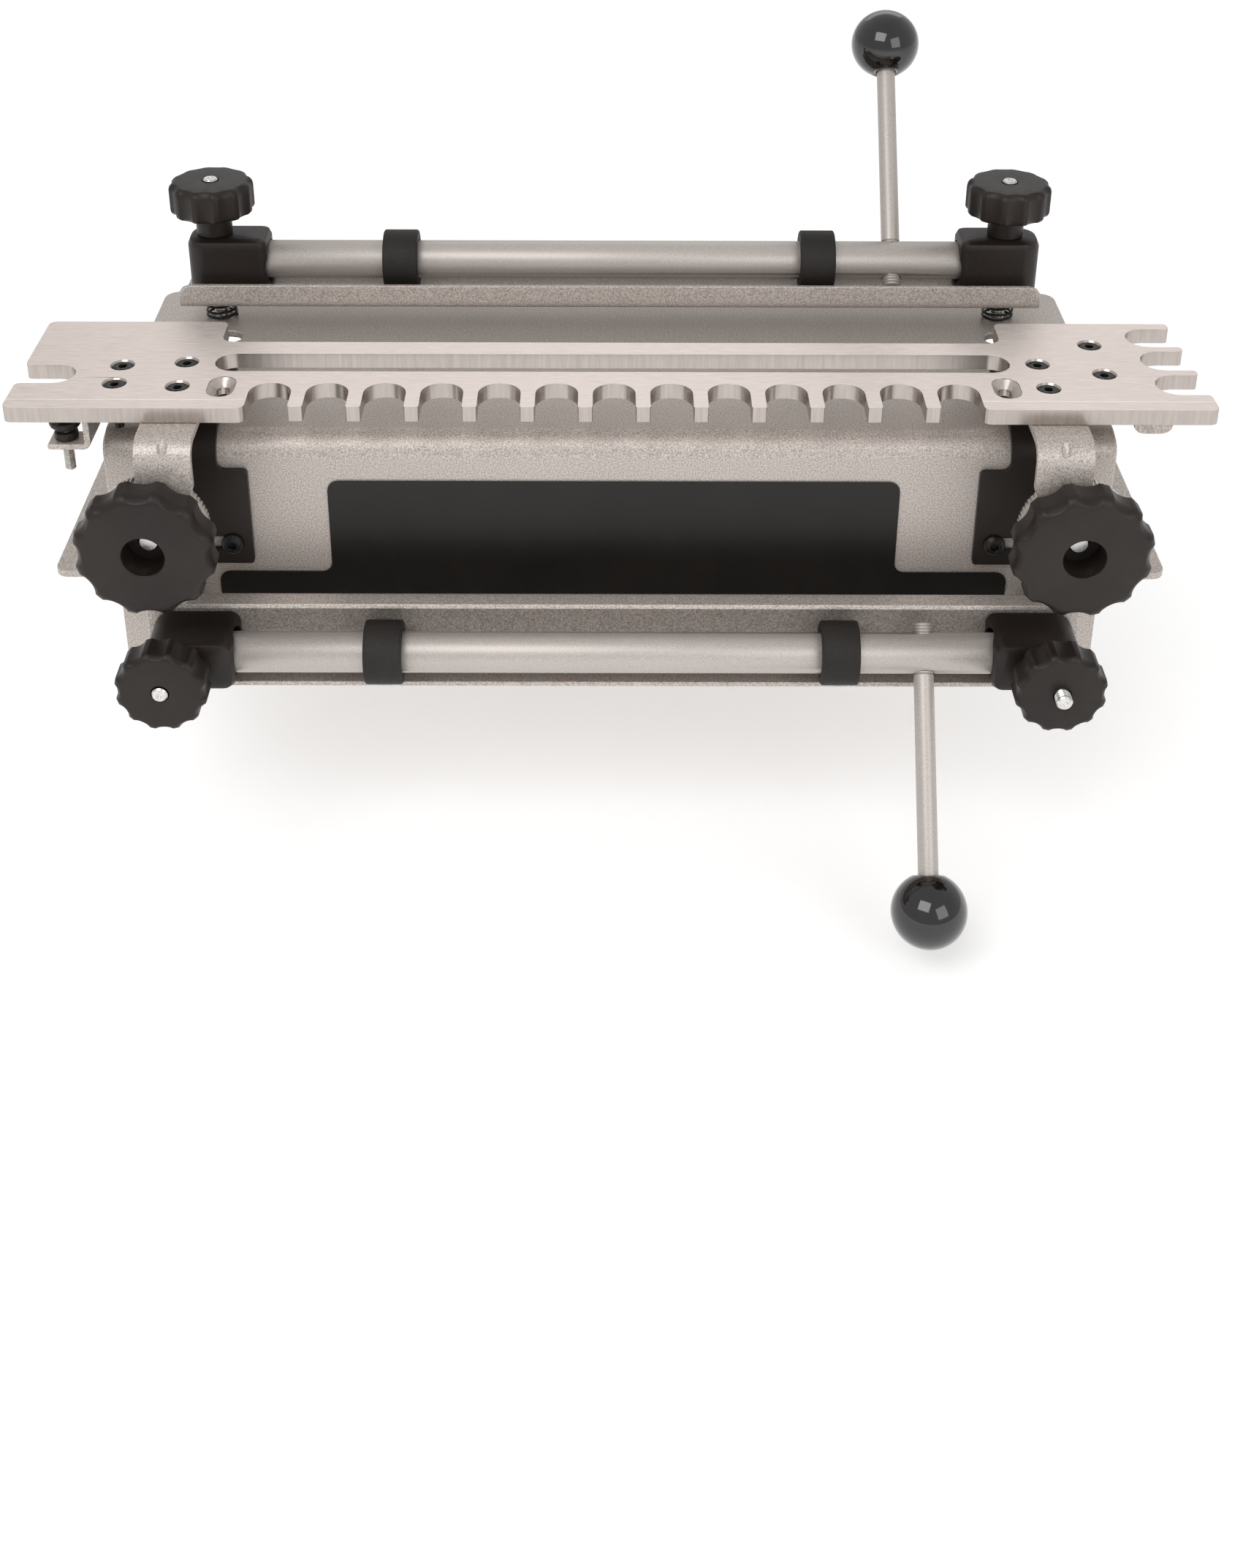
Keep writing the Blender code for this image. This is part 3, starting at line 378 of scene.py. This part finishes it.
def size(node):
    low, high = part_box(node)
    return (high - low) / MM


def axis_up(centre_x, centre_y):
    return lambda x, y, height: (centre_x + x, centre_y + y, height)


def axis_front(centre_x, centre_z):
    return lambda x, y, height: (centre_x + x, -height, centre_z + y)


def upright(node):
    """Bottom and top of a CAD node and the place on its vertical axis."""
    centre, half = middle(node), size(node) / 2
    return centre.z - half.z, centre.z + half.z, axis_up(centre.x, centre.y)


def facing(node):
    """Back and front of a CAD node, as heights towards -Y, and the place on its axis."""
    centre, half = middle(node), size(node) / 2
    return -(centre.y + half.y), -(centre.y - half.y), axis_front(centre.x, centre.z)


# ---- turned shapes -----------------------------------------------------------------------


def lathe(profile, sides, place, radius=None, closed=False):
    """Spin (radius, height) points; radius(r, angle) may vary r round the turn."""
    bm = bmesh.new()
    rings = []
    for r, height in profile:
        ring = []
        for i in range(1 if r == 0 else sides):
            angle = 2 * math.pi * i / sides
            reach = radius(r, angle) if radius and r != 0 else r
            point = place(reach * math.cos(angle), reach * math.sin(angle), height)
            ring.append(bm.verts.new(Vector(point) * MM))
        rings.append(ring)
    pairs = list(zip(rings, rings[1:]))
    if closed:
        pairs.append((rings[-1], rings[0]))
    for low, high in pairs:
        for i in range(sides):
            j = (i + 1) % sides
            if len(low) == 1:
                bm.faces.new((low[0], high[j], high[i]))
            elif len(high) == 1:
                bm.faces.new((low[i], low[j], high[0]))
            else:
                bm.faces.new((low[i], low[j], high[j], high[i]))
    return bm


def rounded(corners, steps):
    """Profile points from (radius, height, fillet) corners."""
    points = []
    for i, (r, height, fillet) in enumerate(corners):
        if fillet <= 0:
            points.append((r, height))
            continue
        corner = Vector((r, height))
        before = (Vector(corners[i - 1][:2]) - corner).normalized()
        after = (Vector(corners[(i + 1) % len(corners)][:2]) - corner).normalized()
        angle = before.angle(after)
        cut = fillet / math.tan(angle / 2)
        centre = corner + (before + after).normalized() * (fillet / math.sin(angle / 2))
        first = corner + before * cut - centre
        last = corner + after * cut - centre
        start = math.atan2(first.y, first.x)
        sweep = math.atan2(first.x * last.y - first.y * last.x, first.dot(last))
        for step in range(steps + 1):
            turn = start + sweep * step / steps
            points.append((centre.x + fillet * math.cos(turn), centre.y + fillet * math.sin(turn)))
    return points


def scallops(rim, depth):
    """Twelve finger hollows that deepen towards the rim of a knob."""
    half = math.pi / 12
    inner = rim * 0.84

    def radius(r, angle):
        if r < inner:
            return r
        share = min(1.0, (r - inner) / (rim * 0.10))
        # 0 in the middle of a hollow, 1 at its edge
        off = abs((angle + half) % (2 * half) - half) / (half * 0.74)
        scoop = math.sqrt(max(0.0, 1.0 - off * off))
        return r - depth * share * (0.35 * scoop + 0.65 * scoop * scoop)
    return radius


def knurl(depth, count, beyond):
    """Even ripples on whatever lies outside the radius beyond."""
    def radius(r, angle):
        return r - depth * (0.5 + 0.5 * math.cos(count * angle)) if r > beyond else r
    return radius


def hexagon(share, above, below=math.inf):
    """Six flats, scaled by share, on radii between above and below."""
    def radius(r, angle):
        off = (angle + math.pi / 6) % (math.pi / 3) - math.pi / 6
        return r / math.cos(off) * share if above < r < below else r
    return radius


def thread(crest, root, rises, start, end, pitch):
    """Rings of a thread: each pitch has points at three rises, at crest, root and crest."""
    points = []
    height = start
    while height + pitch < end:
        points += [(r, height + rise) for r, rise in zip((crest, root, crest), rises)]
        height += pitch
    return points


COARSE_PITCH = 1.25


def threaded_rod(node, radius, low, high, place, pitch, sides):
    """A rod threaded from end to end, with a small chamfer at each."""
    profile = [(0, low), (radius - 0.5, low), (radius, low + 0.5)]
    rises = (pitch * 0.1, pitch * 0.5, pitch * 0.9)
    profile += thread(radius - 0.02, radius - 0.45, rises, low + 0.6, high - 0.6, pitch)
    profile += [(radius, high - 0.6), (radius - 0.6, high), (0, high)]
    stand_in(node, "threaded", lathe(profile, sides, place), "bright_zinc", sharp=30.0)


# ---- plates, brackets and blocks: the CAD shapes with softened edges ---------------------

# CAD node: bevel width
SOFT_EDGES = {
    "base_shell": 0.5, "bench_plate": 0.6,
    "end_gusset_left": 0.5, "end_gusset_right": 0.5,
    "bracket_left": 0.5, "bracket_right": 0.5,
    "depth_stop_bracket": 0.4, "gauge_tab": 0.4,
    "upper_pressure_bar": 0.45, "lower_pressure_bar": 0.45,
    "finger_template": 0.35, "nameplate": 0.15,
    "stop_left": 0.4, "stop_right": 0.4,
    "stud_nut_left": 0.35, "stud_nut_right": 0.35,
    "upper_end_block_left": 0.6, "upper_end_block_right": 0.6,
    "lower_end_block_left": 0.6, "lower_end_block_right": 0.6,
}
MERGE_ANGLE = math.radians(0.6)  # faces flatter to each other than this become one
BEVEL_ANGLE = math.radians(28.0)  # sharper edges than this are bevelled


def soft_skin(node, width):
    bm = cad_mesh(node)
    bmesh.ops.dissolve_limit(bm, angle_limit=MERGE_ANGLE, verts=bm.verts, edges=bm.edges)
    edges = [
        edge for edge in bm.edges
        if len(edge.link_faces) == 2 and edge.calc_face_angle(0.0) > BEVEL_ANGLE
    ]
    bmesh.ops.bevel(bm, geom=edges, offset=width * MM, offset_type="OFFSET", segments=2,
                    profile=0.5, affect="EDGES", clamp_overlap=True)
    bmesh.ops.triangulate(bm, faces=[face for face in bm.faces if len(face.verts) > 4])
    ob = stand_in(node, "skin", bm, SLOT[node])
    # flat faces stay flat: normals follow the larger faces round each bevel
    weighted = ob.modifiers.new("weighted", "WEIGHTED_NORMAL")
    weighted.mode = "FACE_AREA"
    weighted.weight = 90
    weighted.keep_sharp = True


for node, width in SOFT_EDGES.items():
    soft_skin(node, width)

# ---- template knobs and depth wheels -----------------------------------------------------

FRONT_BORE = 4.3  # hole radius of both knob and wheel


def template_knob(node):
    """Scalloped knob on a low collar, with a round recess in its front."""
    back, face, place = facing(node)
    rim, recess, collar = 27.35, 8.15, 1.2
    profile = rounded([
        (FRONT_BORE, back, 0), (14.0, back, 0.8), (15.2, back + collar, 0),
        (rim - 0.2, back + collar, 3.0), (rim, face, 4.6),
        (recess, face, 0.8), (recess, back + 2.5, 0), (FRONT_BORE, back + 2.5, 0),
    ], steps=5)
    bm = lathe(profile, 192, place, scallops(rim, depth=1.9), closed=True)
    stand_in(node, "moulded", bm, "black_plastic", sharp=50.0)


def depth_wheel(node):
    back, face, place = facing(node)
    rim = 21.95
    profile = rounded([
        (FRONT_BORE, back, 0), (rim, back, 0.7), (rim, face, 0.7), (FRONT_BORE, face, 0),
    ], steps=3)
    ripples = knurl(depth=0.35, count=72, beyond=21.5)
    bm = lathe(profile, 288, place, ripples, closed=True)
    stand_in(node, "knurled", bm, "bright_zinc", sharp=60.0)


for side in SIDES:
    template_knob("template_knob_" + side)
    depth_wheel("depth_wheel_" + side)

# ---- clamp knobs, studs and springs: the upper set stands up, the lower set faces front ---

CLAMP_SEAT = {"upper": upright, "lower": facing}
SPRING_TURNS = {"upper": 4.5, "lower": 7.0}


def clamp_knob(clamp, side):
    """Scalloped head on a narrower neck."""
    node = f"{clamp}_knob_{side}"
    low, top, place = CLAMP_SEAT[clamp](node)
    bore, neck, rim, under = 3.5, 7.7, 18.0, top - 14.0
    profile = rounded([
        (bore, low, 0), (neck, low, 0.4), (neck, under, 0),
        (rim, under, 2.2), (rim, top, 3.2), (bore, top, 0.4),
    ], steps=5)
    bm = lathe(profile, 192, place, scallops(rim, depth=1.25), closed=True)
    stand_in(node, "moulded", bm, "black_plastic", sharp=50.0)


def clamp_stud(clamp, side):
    """Threaded stud with a flange at its inner end and a shallow dimple at its tip."""
    node = f"{clamp}_stud_{side}"
    low, tip, place = CLAMP_SEAT[clamp](node)
    shank, flange, flange_top = 3.15, 7.5, low + 4.2
    profile = [(0, low), (6.0, low), (flange, low + 1.2), (flange, flange_top),
               (shank, flange_top)]
    profile += thread(3.17, 2.72, (0.12, 0.62, 1.12), low + 5.0, tip - 0.8, COARSE_PITCH)
    profile += [(shank, tip - 0.6), (2.6, tip), (1.0, tip), (0.8, tip - 0.25), (0, tip - 0.25)]
    stand_in(node, "threaded", lathe(profile, 28, place), "bright_zinc", sharp=30.0)


def clamp_spring(clamp, side):
    """Coil spring, its turns unevenly spaced, built a little shorter than its CAD part."""
    node = f"{clamp}_spring_{side}"
    low, high = (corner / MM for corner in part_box(node))
    centre_x = (low.x + high.x) / 2
    stud = middle(f"{clamp}_stud_{side}")
    if clamp == "upper":
        start, end, place = low.z, high.z, axis_up(centre_x, stud.y)
    else:
        start, end, place = -high.y, -low.y, axis_front(centre_x, stud.z)
    end -= 1.1  # room for the bar's short travel at the end of the lever's swing
    wire, coil = 0.55, 6.4  # radii
    steps_per_turn, wire_sides = 40, 10
    steps = int(SPRING_TURNS[clamp] * steps_per_turn)

    bm = bmesh.new()
    previous = None
    for i in range(steps + 1):
        along = i / steps
        eased = along - 0.055 * math.sin(2 * math.pi * along)
        angle = 2 * math.pi * i / steps_per_turn
        height = start + wire + (end - start - 2 * wire) * eased
        ring = []
        for j in range(wire_sides):
            around = 2 * math.pi * j / wire_sides
            r = coil + wire * math.cos(around)
            point = place(r * math.cos(angle), r * math.sin(angle),
                          height + wire * math.sin(around))
            ring.append(bm.verts.new(Vector(point) * MM))
        if previous:
            for j in range(wire_sides):
                k = (j + 1) % wire_sides
                bm.faces.new((previous[j], previous[k], ring[k], ring[j]))
        else:
            bm.faces.new(list(reversed(ring)))
        previous = ring
    bm.faces.new(previous)
    ob = stand_in(node, "wire", bm, "black_steel", sharp=60.0)
    if clamp == "upper":
        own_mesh(ob)
    else:
        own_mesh(ob)


for clamp in ("upper", "lower"):
    for side in SIDES:
        clamp_knob(clamp, side)
        clamp_stud(clamp, side)
        clamp_spring(clamp, side)

# ---- template studs and stop screws ------------------------------------------------------


def stop_screw(node):
    """Button-head screw with a hexagonal socket."""
    back, face, place = facing(node)
    shank, socket, under = 2.3, 1.65, face - 2.6
    profile = rounded([
        (0, back, 0), (shank, back, 0), (shank, under, 0), (4.7, under, 0.3),
        (4.5, face - 1.5, 0.8), (3.4, face - 0.2, 0.8), (1.8, face, 0.2),
    ], steps=4)
    profile += [(socket, face - 0.2), (socket, face - 1.8), (0, face - 1.8)]
    bm = lathe(profile, 48, place, hexagon(0.94, above=1.5, below=1.9))
    stand_in(node, "button", bm, "black_steel", sharp=40.0)


for side in SIDES:
    node = "template_stud_" + side
    threaded_rod(node, 3.97, *facing(node), pitch=COARSE_PITCH, sides=28)
    stop_screw("stop_screw_" + side)

# ---- template: socket screws, nuts, scribe line ------------------------------------------

TEMPLATE_LOW, TEMPLATE_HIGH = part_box("finger_template")
TEMPLATE_TOP = TEMPLATE_HIGH.z / MM
TEMPLATE_UNDER = TEMPLATE_LOW.z / MM


def template_screw(node, place):
    """Countersunk screw with a hexagonal socket, its head just below the plate's top."""
    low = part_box(node)[0].z / MM
    shank, rim, socket = 2.1, 4.08, 1.7
    top, head = TEMPLATE_TOP, TEMPLATE_TOP - 0.55
    profile = [
        (0, low), (1.7, low), (shank, low + 0.4), (shank, top - 3.9),
        (2.52, top - 3.2), (rim, top - 1.12), (rim, head - 0.15), (3.9, head),
        (1.75, head), (socket, head - 0.1), (socket, head - 1.6), (0, head - 1.9),
    ]
    bm = lathe(profile, 48, place, hexagon(0.93, above=1.6, below=1.72))
    stand_in(node, "socket", bm, "black_steel", sharp=40.0)


def template_nut(number, place):
    """Nut under the plate: hexagonal steel for 1 to 4, round plastic for the rest."""
    if number <= 4:
        gap, thickness, rim, fillet, steps, sides = 3.3, 3.4, 5.0, 0.4, 2, 48
        shape, material = hexagon(0.9, above=3), "black_steel"
    else:
        gap, thickness, rim, fillet, steps, sides = 2.9, 4.4, 4.55, 0.6, 3, 40
        shape, material = None, "black_plastic"
    bore = 2.4
    top = TEMPLATE_UNDER - gap
    low = 75.8 if number == 6 else top - thickness
    corners = [(bore, low, 0), (rim, low, fillet), (rim, top, fillet), (bore, top, 0)]
    bm = lathe(rounded(corners, steps), sides, place, shape, closed=True)
    add_piece(f"template_nut_{number}", bm, material, "template", sharp=35.0)


for number in range(1, 9):
    node = f"template_screw_{number}"
    centre = middle(node)
    place = axis_up(centre.x, centre.y)
    template_screw(node, place)
    template_nut(number, place)

SCRIBE_Y = TEMPLATE_LOW.y / MM + 7.2
SCRIBE_HALF_WIDTH = 0.17
SCRIBE_ENDS = ((-233.5, -142.2), (142.2, 230.9))  # X from and to, at each end of the template


def scribed_strip(name, ends):
    """Thin bar let into the template's top and standing just proud of it."""
    bm = bmesh.new()
    corners = [
        bm.verts.new(Vector((x, y, z)) * MM)
        for x in ends
        for y in (SCRIBE_Y - SCRIBE_HALF_WIDTH, SCRIBE_Y + SCRIBE_HALF_WIDTH)
        for z in (TEMPLATE_TOP - 0.2, TEMPLATE_TOP + 0.03)
    ]
    for face in ((0, 1, 3, 2), (4, 6, 7, 5), (0, 4, 5, 1),
                 (2, 3, 7, 6), (0, 2, 6, 4), (1, 5, 7, 3)):
        bm.faces.new([corners[i] for i in face])
    add_piece(name, bm, "scribe_line", "template")


for i, ends in enumerate(SCRIBE_ENDS):
    scribed_strip(f"scribe_line_{i:02d}", ends)

# ---- depth stop: threaded screw, knurled disc near its top, knurled nut ------------------

STOP_BORE = 2.3


def depth_stop_screw():
    node = "depth_stop_screw"
    low, head, place = upright(node)
    threaded_rod(node, 2.15, low, head - 0.4, place, pitch=0.8, sides=24)
    rim, neck = 6.2, 3.0
    profile = rounded([
        (STOP_BORE, head - 7.7, 0), (4.8, head - 7.7, 0.7),
        (rim, head - 6.1, 0.5), (rim, head - 4.4, 0.4),
        (neck, head - 4.2, 0), (neck, head - 0.2, 0), (STOP_BORE, head - 0.2, 0),
    ], steps=3)
    bm = lathe(profile, 48, place, knurl(depth=0.18, count=36, beyond=5.6), closed=True)
    add_piece(node + "_disc", bm, "black_plastic", BODY[node], sharp=45.0)


def depth_stop_nut():
    node = "depth_stop_nut"
    low, top, place = upright(node)
    rim = 4.7
    profile = rounded([
        (STOP_BORE, low, 0), (rim, low, 0.8), (rim, top, 0.8), (STOP_BORE, top, 0),
    ], steps=3)
    bm = lathe(profile, 48, place, knurl(depth=0.15, count=30, beyond=4.3), closed=True)
    stand_in(node, "knurled", bm, "black_plastic", sharp=45.0)


depth_stop_screw()
depth_stop_nut()

# ---- rings on the cam bars, and levers ---------------------------------------------------


def cam_ring(node, body, axis_y, axis_z):
    centre, half = middle(node), size(node) / 2
    left, right = centre.x - half.x, centre.x + half.x
    bore, rim = 8.55, 12.9
    profile = rounded([
        (bore, left, 0.3), (rim, left, 1.0), (rim, right, 1.0), (bore, right, 0.3),
    ], steps=5)
    bm = lathe(profile, 72, lambda x, y, height: (height, axis_y + x, axis_z + y), closed=True)
    stand_in(node, "moulded", bm, "black_rubber", sharp=50.0, body=body)


def lever_rod(node, body, length, place):
    """Rod through the cam bar, threaded near it; length is from the bar's axis to the ball."""
    radius, crest, end = 4.0, 3.95, length - 3.1
    profile = [(0, -12.0), (3.4, -12.0), (crest, -11.4)]
    profile += thread(crest, 3.45, (0.12, 0.6, 1.1), start=-11.2, end=9.85, pitch=COARSE_PITCH)
    profile += [(radius, 10.2), (radius, end - 0.5), (3.4, end), (0, end)]
    stand_in(node, "threaded", lathe(profile, 48, place), "bar_silver", sharp=30.0, body=body)


def lever_ball(node, body, length, place):
    """Ball with a flat round its socket, which opens towards the cam bar."""
    radius, socket, socket_floor = 15.0, 4.25, length - 2.6
    flat = math.asin(6.0 / radius)  # polar angle where the flat cuts the ball
    mouth = length - radius * math.cos(flat)
    profile = [(0, socket_floor), (socket, socket_floor), (socket, mouth + 0.5), (4.8, mouth)]
    steps = 48
    for i in range(steps):
        angle = flat + (math.pi - flat) * i / steps
        profile.append((radius * math.sin(angle), length - radius * math.cos(angle)))
    profile.append((0, length + radius))
    stand_in(node, "moulded", lathe(profile, 96, place), "gloss_black", sharp=60.0, body=body)


def lever(clamp):
    body = f"{clamp}_lever"
    bar = middle(f"{clamp}_ring_left")
    for side in SIDES:
        cam_ring(f"{clamp}_ring_{side}", body, bar.y, bar.z)

    ball = middle(f"{clamp}_lever_ball")
    start = Vector((ball.x, bar.y, bar.z))
    axis = ball - start
    length = axis.length
    axis.normalize()
    sideways = Vector((1, 0, 0))
    across = axis.cross(sideways)

    def place(x, y, height):
        return start + sideways * x + across * y + axis * height

    lever_rod(f"{clamp}_lever_rod", body, length, place)
    lever_ball(f"{clamp}_lever_ball", body, length, place)


lever("upper")
lever("lower")

# ---- anything left keeps its CAD shape and gets its material -----------------------------

for node, ob in frame["nodes"].items():
    if not ob.hide_render:
        stand_in(node, "skin", cad_mesh(node), SLOT[node], sharp=30.0)

# ---- floor, light, camera ----------------------------------------------------------------


def add_floor():
    """Wide white square a little below the jig, faintly glowing."""
    reach, height = 6, cad_lo.z - 0.012
    bm = bmesh.new()
    for x, y in ((-reach, -reach), (reach, -reach), (reach, reach), (-reach, reach)):
        bm.verts.new((x, y, height))
    bm.faces.new(bm.verts)
    mesh = bpy.data.meshes.new("floor")
    bm.to_mesh(mesh)
    bm.free()
    floor = link_object("floor", mesh)
    shader = Shader("floor_white")
    shader.set(
        Base_Color=shader.tones(shader.noise(scale=3.0), grey(0.93), grey(0.95)),
        Roughness=0.9,
        Emission_Color=grey(1),
        Emission_Strength=0.26,
    )
    mesh.materials.append(shader.material)


def add_world():
    world = bpy.data.worlds.new("studio")
    bpy.context.scene.world = world
    world.use_nodes = True
    background = world.node_tree.nodes["Background"]
    background.inputs["Color"].default_value = grey(1)
    background.inputs["Strength"].default_value = 0.66


def area_light(name, place, aim, width, height, power):
    light = bpy.data.lights.new(name, "AREA")
    light.shape = "RECTANGLE"
    light.size = width
    light.size_y = height
    light.energy = power
    ob = link_object(name, light)
    ob.location = place
    ob.rotation_euler = (Vector(aim) - Vector(place)).to_track_quat("-Z", "Y").to_euler()


def add_camera():
    """Camera in front of the jig and above it, looking back and down."""
    pitch, yaw, roll = math.radians(28.0), math.radians(-0.14), math.radians(0.2)
    turn = Matrix.Rotation(yaw, 3, "Z")
    forward = turn @ Vector((0, math.cos(pitch), -math.sin(pitch)))
    level_up = turn @ Vector((0, math.sin(pitch), math.cos(pitch)))
    level_right = turn @ Vector((1, 0, 0))
    right = math.cos(roll) * level_right + math.sin(roll) * level_up
    up = -math.sin(roll) * level_right + math.cos(roll) * level_up
    pose = Matrix((right, up, -forward)).transposed().to_4x4()
    pose.translation = Vector((-0.003, -0.743, 0.4592))

    camera = bpy.data.cameras.new("camera")
    ob = link_object("camera", camera)
    ob.matrix_world = pose
    camera.sensor_fit = "AUTO"
    camera.sensor_width = 36.0
    camera.lens = 48.234965
    camera.shift_x = 0.0067599068
    camera.shift_y = -0.22307692
    camera.clip_start = 0.01
    bpy.context.scene.camera = ob


add_floor()
add_world()
area_light("key", place=(-0.55, -1.05, 1.3), aim=(0, 0, 0.05), width=1.1, height=0.9, power=11.0)
area_light("fill", place=(0.9, -1.2, 0.7), aim=(0, 0, 0.03), width=0.9, height=0.9, power=5.0)
area_light("back", place=(0.1, 1.3, 0.9), aim=(0, 0, 0.08), width=1.4, height=0.5, power=1.5)
add_camera()
bpy.context.scene.view_settings.view_transform = "Standard"
